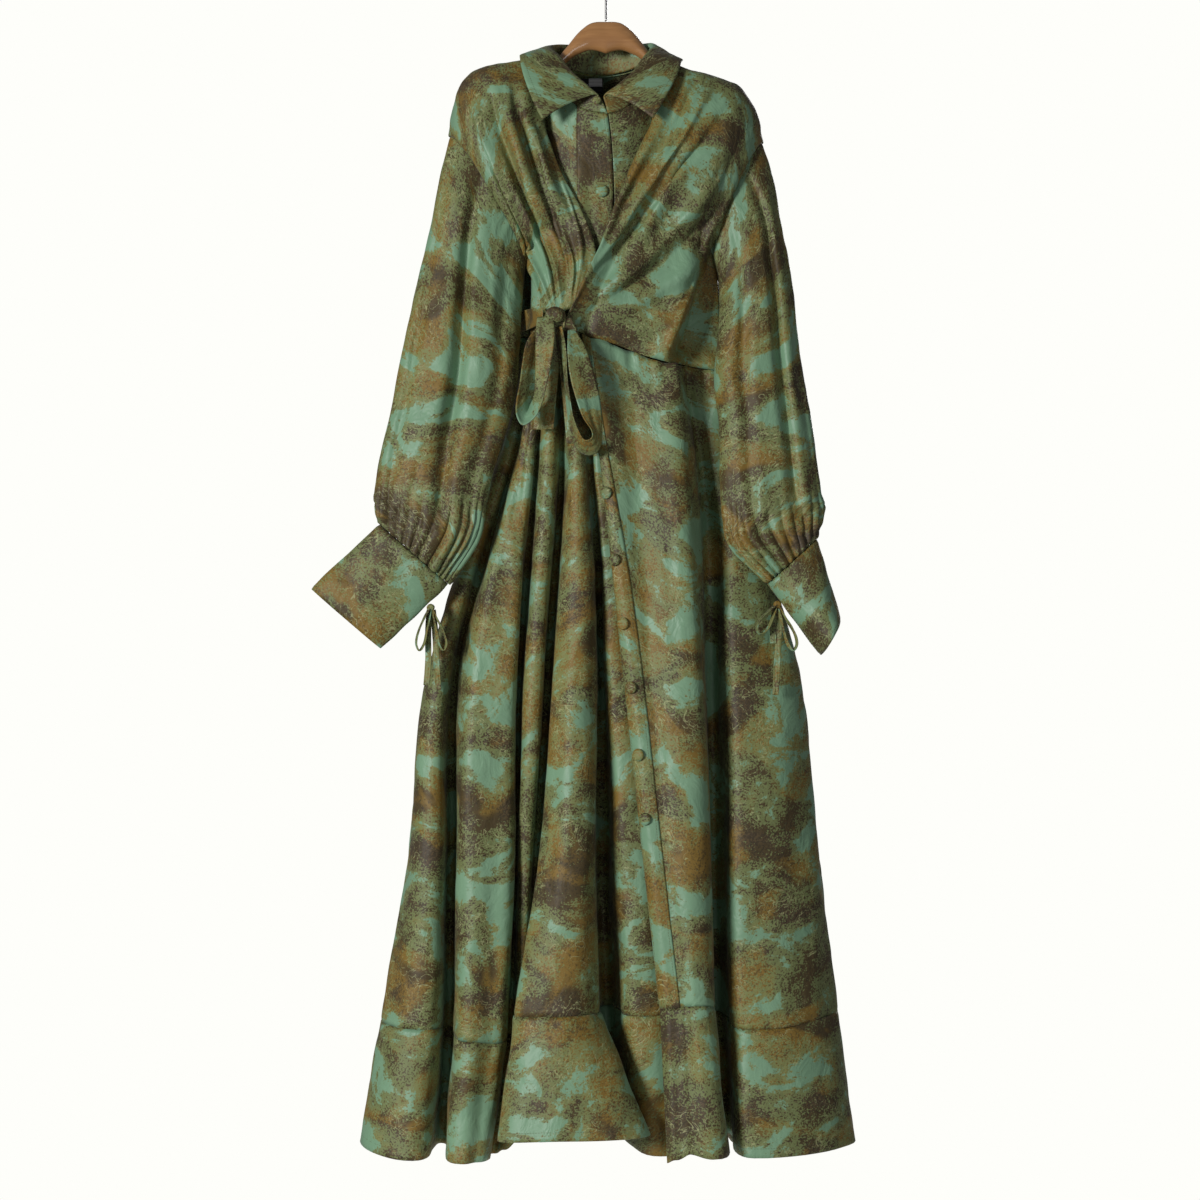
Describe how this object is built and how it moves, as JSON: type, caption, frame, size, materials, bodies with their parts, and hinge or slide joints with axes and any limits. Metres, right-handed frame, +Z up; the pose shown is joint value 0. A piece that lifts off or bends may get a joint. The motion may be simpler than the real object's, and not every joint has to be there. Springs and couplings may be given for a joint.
{
  "type": "wrap dress on a coat hanger",
  "caption": "Floor-length wrap dress with shirt collar, wide sleeves, deep cuffs, tied waist bow, buttoned skirt front and hem flounce, hung on a wooden coat hanger.",
  "frame": {"origin": "inside top of the hanger's hook, where it rests on a rail", "axes": "+Z up, the dress faces -Y, +X to the right as seen from the front"},
  "size_m": [0.7136, 0.2856, 1.5561],
  "materials": {
    "satin_jacquard": "satin, mottled green and golden brown",
    "button_cloth": "covered in the same satin",
    "hanger_wood": "lacquered",
    "hook_steel": "polished",
    "label_black": "woven, matt",
    "label_white": "woven, matt"
  },
  "bodies": {
    "root": {"hanger_wood": "hanger_wood", "hanger_hook": "hook_steel", "collar_leaf": "satin_jacquard", "collar_stand": "satin_jacquard", "overlay_left": "satin_jacquard", "overlay_right": "satin_jacquard", "bodice_back": "satin_jacquard", "shirt_front_left": "satin_jacquard", "shirt_front_right": "satin_jacquard", "bodice_placket": "satin_jacquard", "skirt_front_left": "satin_jacquard", "flounce_front_left": "satin_jacquard", "skirt_back": "satin_jacquard", "flounce_back": "satin_jacquard", "skirt_front_right": "satin_jacquard", "flounce_front_right": "satin_jacquard", "skirt_placket": "satin_jacquard", "sleeve_left": "satin_jacquard", "sleeve_right": "satin_jacquard", "cuff_left": "satin_jacquard", "cuff_right": "satin_jacquard", "waist_belt": "satin_jacquard", "waist_bow": "satin_jacquard", "cuff_tie_left": "satin_jacquard", "cuff_tie_right": "satin_jacquard", "button_bodice": "button_cloth", "button_skirt_1": "button_cloth", "button_skirt_2": "button_cloth", "button_skirt_3": "button_cloth", "button_skirt_4": "button_cloth", "button_skirt_5": "button_cloth", "button_skirt_6": "button_cloth", "neck_label": "label_black", "size_tab": "label_white"}
  },
  "joints": []
}
